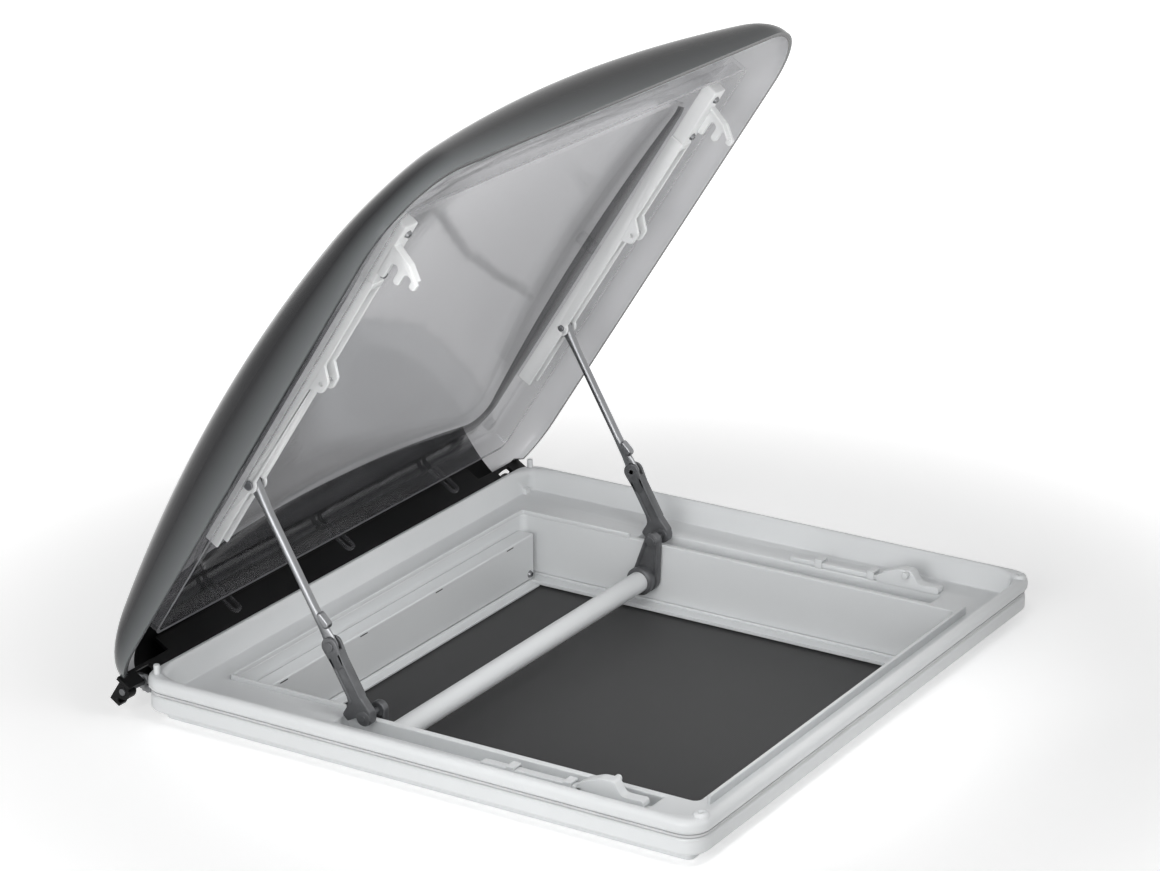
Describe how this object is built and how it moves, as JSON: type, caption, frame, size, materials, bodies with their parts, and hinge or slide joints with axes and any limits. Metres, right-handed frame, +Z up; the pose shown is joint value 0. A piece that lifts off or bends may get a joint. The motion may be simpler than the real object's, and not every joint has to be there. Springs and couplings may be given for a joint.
{
  "type": "caravan roof vent",
  "caption": "Roof vent with a smoked double dome hinged on a white roof frame, held open by a sliding bow with struts, with side latches and a roller blind below.",
  "frame": {"origin": "centre of the roof cut-out on the roof surface, in the plane of the frame's underside", "axes": "+X from the hinge side to the front, +Y along the hinge, +Z up out of the roof"},
  "size_m": [0.4974, 0.537, 0.48],
  "materials": {
    "white_plastic": "satin",
    "smoked_acrylic": "gloss",
    "clear_acrylic": "clear",
    "black_plastic": "matte",
    "charcoal_plastic": "matte",
    "steel": "satin",
    "cast_grey": "satin",
    "rubber": "matte",
    "fabric": "matte"
  },
  "bodies": {
    "frame": {"outer_frame": "white_plastic", "inner_frame": "white_plastic", "roof_seal": "rubber", "rim_seal": "rubber", "trim_screws": "steel", "corner_buffers": "white_plastic", "corner_posts": "white_plastic", "hinge_bracket_left": "steel", "hinge_bracket_right": "steel", "bracket_screws": "steel", "hinge_pins": "steel", "latch_keepers": "white_plastic", "blind_cassette": "white_plastic", "cassette_screws": "steel", "guide_left": "white_plastic", "guide_right": "white_plastic", "blind_fabric": "fabric"},
    "roller": {"roller_tube": "steel"},
    "blind": {"pull_bar": "charcoal_plastic"},
    "lid": {"dome": "smoked_acrylic", "inner_pane": "clear_acrylic", "pane_spacers": "clear_acrylic", "pane_clips": "clear_acrylic", "hinge_profile": "black_plastic", "hinge_claws": "black_plastic", "rail_left": "white_plastic", "rail_right": "white_plastic", "rail_screws": "steel", "hook_left": "white_plastic", "hook_right": "white_plastic", "hook_screws": "steel", "strut_pins": "steel"},
    "struts": {"strut_left": "cast_grey", "strut_right": "cast_grey", "lever_left": "cast_grey", "lever_right": "cast_grey", "knee_pins": "steel"},
    "bow": {"bow_tube": "white_plastic", "bow_arm_left": "cast_grey", "bow_arm_right": "cast_grey", "pivot_pins": "steel"},
    "latch_left": {"latch_bar_left": "white_plastic"},
    "latch_right": {"latch_bar_right": "white_plastic"}
  },
  "joints": [
    {"name": "lid_hinge", "type": "hinge", "parent": "frame", "child": "lid", "pos_m": [-0.2316, 0, 0.0213], "axis": [0, 1, 0], "range_deg": [0, 57.4]},
    {"name": "strut_swing", "type": "hinge", "parent": "lid", "child": "struts", "pos_m": [-0.15449, 0, 0.17306], "axis": [0, 1, 0], "range_deg": [-112.03, 0]},
    {"name": "bow_pivot", "type": "hinge", "parent": "struts", "child": "bow", "pos_m": [-0.0662, 0, 0.0206], "axis": [0, 1, 0], "range_deg": [0, 54.63]},
    {"name": "latch_left_slide", "type": "slide", "parent": "frame", "child": "latch_left", "axis": [1, 0, 0], "range_m": [0, 0.013]},
    {"name": "latch_right_slide", "type": "slide", "parent": "frame", "child": "latch_right", "axis": [1, 0, 0], "range_m": [0, 0.013]},
    {"name": "blind_slide", "type": "slide", "parent": "frame", "child": "blind", "axis": [1, 0, 0], "range_m": [-0.33, 0], "deforming": ["blind_fabric"]},
    {"name": "roller_spin", "type": "hinge", "parent": "frame", "child": "roller", "pos_m": [-0.1802, 0, -0.0242], "axis": [0, 1, 0], "range_deg": [-4115.3, 0]}
  ],
  "couplings": [
    {"joint": "strut_swing", "follows": "lid_hinge", "ratio": -1.9447},
    {"joint": "bow_pivot", "follows": "lid_hinge", "ratio": 0.9447},
    {"joint": "roller_spin", "follows": "blind_slide", "rad_per_m": 217.39}
  ]
}
